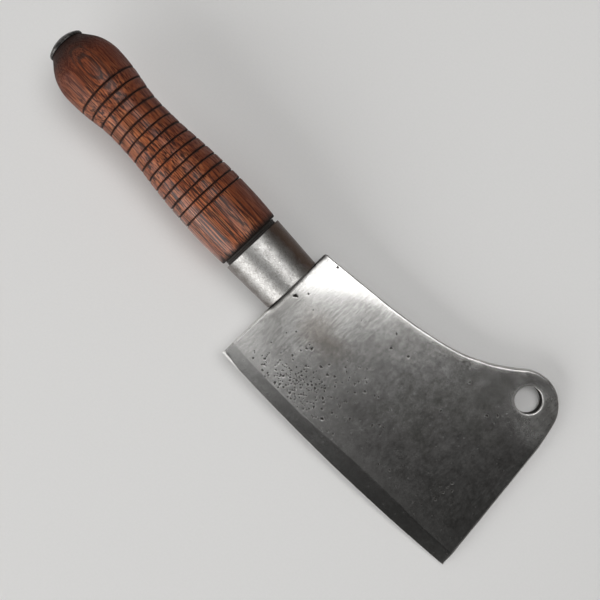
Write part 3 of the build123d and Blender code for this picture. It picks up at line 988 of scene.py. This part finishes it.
def ferrule_steel():
    """Turned steel, rubbed bright by hand, with fine rings, specks and a dull haze."""
    r = Recipe(materials.new("ferrule_steel"))
    p = r.tool_mm()
    rings = r.grain(p, (4.5, 0.12, 0.12), 3.0, 0.6)
    rub = r.grain(p, (0.25, 1.8, 1.8), 4.0, 0.6, (1, 4, 2))
    haze = r.grain(p, (0.28, 0.28, 0.28), 4.0, 0.6, (9, 1, 1))
    grit = r.grain(p, (1.6, 1.6, 1.6), 3.0, 0.7)
    colour = r.mix(r.band(haze, 0.3, 0.7), HAZE_DARK, HAZE_PALE)
    colour = r.tint(colour, r.band(grit, 0.54, 0.66), 0.60, GRIT_DARK)
    colour = r.tint(colour, r.band(grit, 0.45, 0.34), 0.60, GRIT_PALE)
    # Painted reflection: the colour is browned on the spine's side, less on the edge's.
    _, y, _ = r.axes(p)
    reflection_spine_side = r.times(r.zone(y, haze, 5.0, 8.0, 14.0), 0.94)
    reflection_edge_side = r.times(r.zone(y, haze, 4.0, -9.0, -12.5), 0.55)
    colour = r.mix(r.most(reflection_spine_side, reflection_edge_side), colour, REFLECTION_BROWN)
    rough = r.band(grit, 0.3, 0.7, 0.27, 0.42)
    normal = r.relief((rings, 0.004), (rub, 0.012), (grit, 0.125))
    return r.surface(Base_Color=colour, Metallic=1.0, Roughness=rough, Normal=normal)


SCALE_DARK, SCALE_PALE = (0.028, 0.026, 0.025), (0.13, 0.125, 0.12)
CAP_RUBBED = (0.30, 0.295, 0.285)


def dark_steel():
    """Forge-blackened cap, rubbed grey on its crown and rim."""
    r = Recipe(materials.new("dark_steel"))
    p = r.tool_mm()
    scale = r.grain(p, (0.9, 0.9, 0.9), 5.0, 0.65)
    rub = r.grain(p, (3.0, 0.5, 3.0), 3.0, 0.6, (4, 4, 1))
    colour = r.mix(r.band(scale, 0.42, 0.68), SCALE_DARK, SCALE_PALE)
    colour = r.tint(colour, r.band(rub, 0.55, 0.72), 0.5, CAP_RUBBED)
    rough = r.band(scale, 0.3, 0.7, 0.52, 0.34)
    normal = r.relief((scale, 0.05), (rub, 0.012))
    return r.surface(Base_Color=colour, Metallic=0.9, Roughness=rough, Normal=normal)


LEATHER_DARK, LEATHER_WORN = (0.006, 0.005, 0.0045), (0.045, 0.035, 0.028)


def black_leather():
    """Leather blackened with oil and soot, its cut edge fibrous."""
    r = Recipe(materials.new("black_leather"))
    p = r.tool_mm()
    fibre = r.grain(p, (7.0, 1.2, 1.2), 4.0, 0.7)
    crease = r.grain(p, (1.4, 1.4, 1.4), 4.0, 0.6, (2, 2, 2))
    colour = r.mix(r.band(fibre, 0.3, 0.75), LEATHER_DARK, LEATHER_WORN)
    rough = r.band(crease, 0.3, 0.7, 0.62, 0.85)
    normal = r.relief((fibre, 0.07), (crease, 0.10))
    return r.surface(Base_Color=colour, Roughness=rough, Normal=normal)


WOOD_DEEP = (0.095, 0.016, 0.0045)
WOOD_RED = (0.270, 0.060, 0.0165)
WOOD_PALE = (0.500, 0.165, 0.0580)
WOOD_PORE = (0.014, 0.0060, 0.0042)
WOOD_CHAR = (0.0075, 0.0055, 0.0045)
RING_PITCH = 5.6  # radians of growth ring in a millimetre
EYE_AT = (-125.8, 1.4)


def handle_wood():
    """Open-pore hardwood, slab-sawn, stained red-brown by oil, charred at both ends."""
    r = Recipe(materials.new("handle_wood"))
    p = r.tool_mm()
    x, y, z = r.axes(p)
    drift = r.grain(p, (0.022, 0.10, 0.10), 2.0, 0.5)
    wander = r.grain(p, (0.10, 0.35, 0.35), 3.0, 0.55, (6, 1, 3))
    # Growth layers lie parallel to the blade, so the crowns of the bulb and the swell
    # cut them into ovals.
    layer = r.total((z, 1.0), (drift, 2.4), (wander, 0.9))
    ring = r.math("SINE", r.times(layer, RING_PITCH))
    late = r.band(ring, 0.55, 1.0)
    fibre = r.grain(p, (0.035, 1.7, 1.7), 3.0, 0.65, (2, 8, 5))
    hair = r.grain(p, (0.40, 6.0, 6.0), 2.0, 0.6, (7, 3, 9))
    coarse = r.grain(p, (0.040, 1.8, 1.8), 1.0, 0.5, (1, 5, 7))
    small = r.grain(p, (0.09, 2.8, 2.8), 1.0, 0.5, (8, 2, 6))
    pore = r.zone(coarse, late, 0.030, 0.560, 0.590)
    pore = r.most(pore, r.zone(small, late, 0.025, 0.568, 0.598))
    patch = r.grain(p, (0.035, 0.09, 0.09), 3.0, 0.5, (4, 4, 8))
    tone = r.total((fibre, 0.80), (late, -0.06), (hair, 0.25), (patch, 0.20))
    colour = r.mix(r.band(tone, 0.40, 0.58), WOOD_DEEP, WOOD_RED)
    colour = r.mix(r.band(tone, 0.54, 0.80), colour, WOOD_PALE)
    colour = r.tint(colour, pore, 0.90, WOOD_PORE)
    # Painted shade: the spine's side of the grip is darkened.
    far = r.zone(y, wander, 4.0, 5.0, 16.0)
    colour = r.tint(colour, far, 0.76, WOOD_DEEP)
    dusk = r.zone(x, wander, 5.0, -108.0, -134.0)
    colour = r.tint(colour, dusk, 0.84, WOOD_DEEP)
    # An eye in the grain on the bulb's crown, its dark layers cut into long ovals.
    eye = r.away(x, y, EYE_AT, (0.16, 1.0))
    eye = r.math("SUBTRACT", r.total((eye, 1.0), (wander, 1.8), (hair, 0.5)), 1.15)
    crest_top = r.times(r.band(eye, 6.4, 3.6), r.band(z, 7.0, 10.0))
    oval = r.band(r.math("SINE", r.times(eye, math.pi)), -0.05, 0.75)
    oval = r.times(oval, r.times(crest_top, r.band(eye, 1.0, 1.9)))
    oval = r.times(oval, r.band(fibre, 0.28, 0.52, 0.55, 1.0))
    dash = r.times(pore, r.times(crest_top, 0.6))
    # The bulb's crown is lifted back toward the red tone: partly the eye's paler wood, partly
    # painted sheen.
    colour = r.tint(colour, crest_top, 0.54, WOOD_RED)
    colour = r.tint(colour, r.most(oval, dash), 0.80, WOOD_PORE)
    butt = r.zone(x, wander, 7.0, -124.5, -138.5)
    neck = r.zone(x, wander, -3.0, -33.2, -29.6)
    burnt = r.most(r.times(butt, 0.86), r.times(neck, 0.93))
    burnt = r.most(burnt, r.times(r.mark("groove"), 0.95))
    colour = r.mix(burnt, colour, WOOD_CHAR)
    rough = r.band(fibre, 0.3, 0.7, 0.38, 0.50)
    rough = r.total((rough, 1.0), (pore, 0.30), (burnt, 0.24), (dusk, 0.10))
    normal = r.relief((r.math("SUBTRACT", 1.0, pore), 0.18), (fibre, 0.10), (hair, 0.012))
    # The palm polished the edge's side of the grip; soot, grime and burnt grooves stay dull.
    palm = r.zone(y, wander, 3.0, 1.0, -9.0)
    palm = r.times(palm, r.band(x, -84.0, -48.0))
    wax = r.total((palm, 0.54), (far, -0.16))
    dull = r.most(burnt, r.times(dusk, 0.75))
    kept = r.math("SUBTRACT", 1.0, r.times(dull, 0.92))
    polish = r.times(r.math("ADD", wax, 0.26), kept)
    return r.surface(
        Base_Color=colour, Roughness=rough, Normal=normal, Specular_IOR_Level=0.24,
        Coat_Weight=polish, Coat_Roughness=0.24,
    )


FLOOR_DARK, FLOOR_PALE = (0.79, 0.785, 0.775), (0.83, 0.825, 0.815)


def pale_floor():
    """Matt board with a fine tooth."""
    r = Recipe(materials.new("pale_floor"))
    coords = r.node("ShaderNodeTexCoord").outputs["Object"]
    grain = r.noise(coords, 900.0, 3.0, 0.6)
    colour = r.mix(grain, FLOOR_DARK, FLOOR_PALE)
    return r.surface(Base_Color=colour, Roughness=0.85, Normal=r.relief((grain, 0.02)))


# ---- The tool ----
for piece, material in (
    (make_blade(), blade_steel()),
    (make_ferrule(), ferrule_steel()),
    (make_handle(), handle_wood()),
    (make_butt_cap(), dark_steel()),
):
    piece.data.materials.append(material)
leather = black_leather()
for name, front_x, seed in (
    ("neck_washer_front", -FERRULE_LENGTH, 91),
    ("neck_washer_rear", -FERRULE_LENGTH - WASHER_THICK, 95),
):
    make_washer(name, front_x, seed).data.materials.append(leather)

# ---- Studio: pale floor, four soft lights and a dim room with a paler ring of wall ----
FLOOR_HALF = 1.8
FLOOR_GAP = 0.0001  # the floor lies just clear of the part
floor_mesh = bpy.data.meshes.new("floor")
corners = [
    (a * FLOOR_HALF, b * FLOOR_HALF, cad_low.z - FLOOR_GAP)
    for a, b in ((-1, -1), (1, -1), (1, 1), (-1, 1))
]
floor_mesh.from_pydata(corners, [], [(0, 1, 2, 3)])
floor_mesh.materials.append(pale_floor())
floor = add_object("floor", floor_mesh)

CAMERA_TURN = math.radians(46.76)  # the tool lies across the picture's diagonal
CAMERA_AT = Vector((0.00918, -0.00812, 0.400))
SENSOR_WIDTH, LENS = 36.0, 51.42
BOX_HEIGHT = 1.0
picture_right = Vector((math.cos(CAMERA_TURN), math.sin(CAMERA_TURN), 0))
picture_up = Vector((-math.sin(CAMERA_TURN), math.cos(CAMERA_TURN), 0))


def soft_light(name, at, aim, width, height, radiance, turn=0.0):
    """Rectangular soft box whose glow is given as radiance, so size and power agree."""
    data = bpy.data.lights.new(name, "AREA")
    data.shape = "RECTANGLE"
    data.size, data.size_y = width, height
    data.energy = radiance * math.pi * width * height
    facing = (Vector(aim) - Vector(at)).to_track_quat("-Z", "Y").to_matrix().to_4x4()
    turned = facing @ Matrix.Rotation(turn, 4, "Z")
    add_object(name, data).matrix_world = Matrix.Translation(at) @ turned


def top_light(name, right, up, width, height, radiance):
    """Soft box high over the floor, facing down and squared to the picture."""
    at = picture_right * right + picture_up * up + Vector((0, 0, BOX_HEIGHT))
    soft_light(name, at, at - Vector((0, 0, 1)), width, height, radiance, CAMERA_TURN)


top_light("overhead", 0.25, 0.18, 0.60, 0.60, 4.1)
top_light("ceiling", -0.285, -0.38, 0.63, 0.40, 0.70)
soft_light("side", (0.0, -1.20, 0.45), (0, 0, 0), 2.0, 0.9, 2.5)
soft_light("fill", (-1.2, 0.1, 0.9), (0, 0, 0), 1.2, 1.2, 0.9)

ROOM_LEAN = 0.4  # the room darkens upward and toward +Y
ROOM_RANGE = (-0.4, 0.5, 0.50, 0.02)  # leaning height, then brightness
WALL_RANGE = (0.80, 0.54, 0.0, 0.17)
ROOM_TINT = (1.0, 0.98, 0.95, 1.0)
world = bpy.data.worlds.new("room")
room = Recipe(world)
_, toward, upward = room.axes(room.node("ShaderNodeTexCoord").outputs["Generated"])
dim = room.band(room.math("MULTIPLY_ADD", toward, ROOM_LEAN, upward), *ROOM_RANGE, kind="LINEAR")
# The paler ring of wall gives the steel something to mirror from the side.
glow = {"Color": ROOM_TINT, "Strength": room.most(dim, room.band(upward, *WALL_RANGE))}
room.node("ShaderNodeOutputWorld", [room.node("ShaderNodeBackground", glow).outputs[0]])
bpy.context.scene.world = world
bpy.context.scene.view_settings.view_transform = "Standard"

camera_data = bpy.data.cameras.new("camera")
camera_data.sensor_width, camera_data.lens = SENSOR_WIDTH, LENS
camera_data.clip_start = 0.01
camera = add_object("camera", camera_data)
camera.matrix_world = Matrix.Translation(CAMERA_AT) @ Matrix.Rotation(CAMERA_TURN, 4, "Z")
bpy.context.scene.camera = camera
